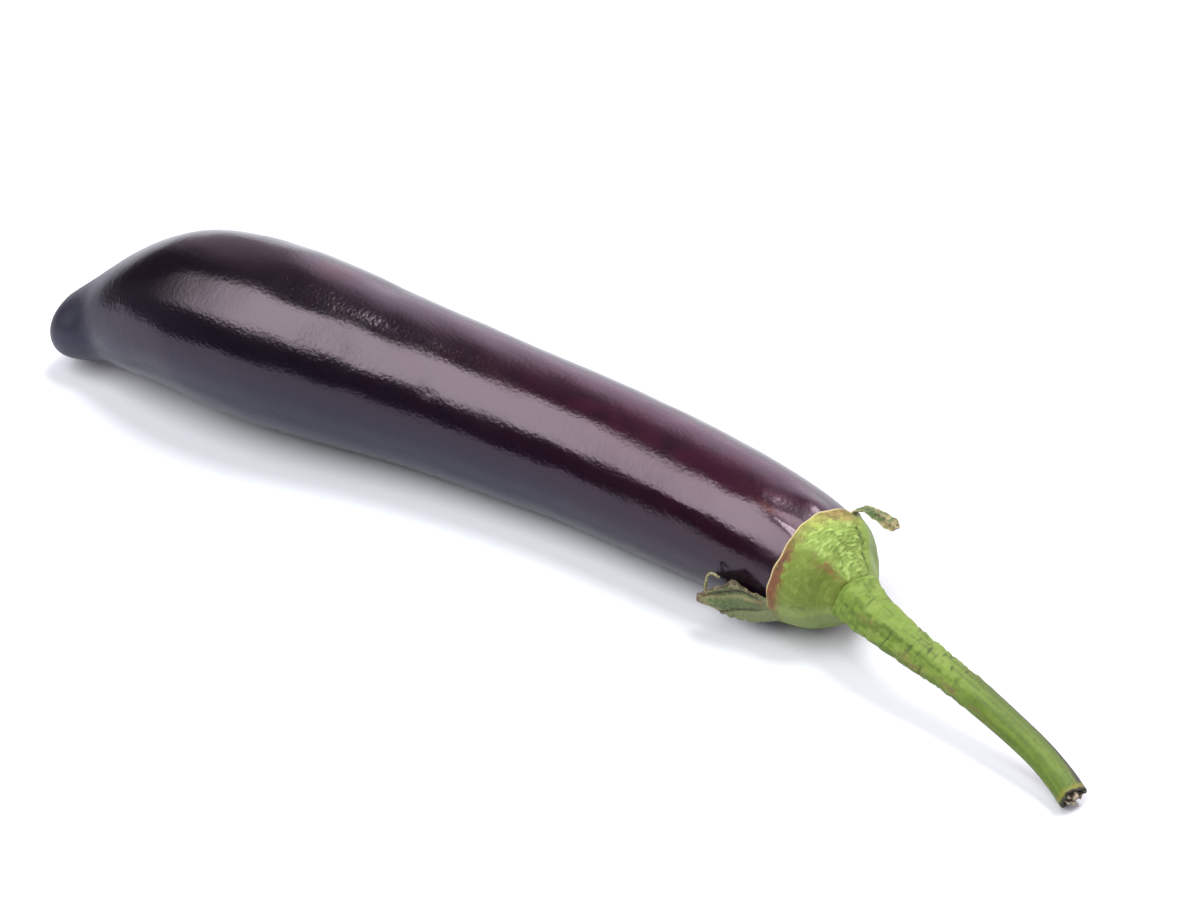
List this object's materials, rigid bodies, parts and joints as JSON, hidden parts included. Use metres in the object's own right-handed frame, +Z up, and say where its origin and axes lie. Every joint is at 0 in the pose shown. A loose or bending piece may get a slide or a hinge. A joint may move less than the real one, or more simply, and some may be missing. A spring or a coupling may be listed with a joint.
{
  "type": "eggplant",
  "caption": "Long curved purple eggplant with a ribbed green calyx cap, dried calyx lobes lifted off the skin, and a bent stem with a torn end.",
  "frame": {"origin": "centre of the bounding box in plan, on the surface that the fruit lies on", "axes": "+X along the fruit towards its stem, +Z up from the flat spot that the fruit rests on"},
  "size_m": [0.3545, 0.0603, 0.0557],
  "materials": {
    "skin": "waxy glossy plant skin, near-black purple",
    "calyx": "leathery green calyx, bumpy, browned along its rim",
    "stem": "green woody stem, satin, lightly furrowed",
    "pith": "dry torn pith, matte"
  },
  "bodies": {
    "root": {"fruit": "skin", "calyx": "calyx", "stem": "stem", "pith": "pith"}
  },
  "joints": []
}
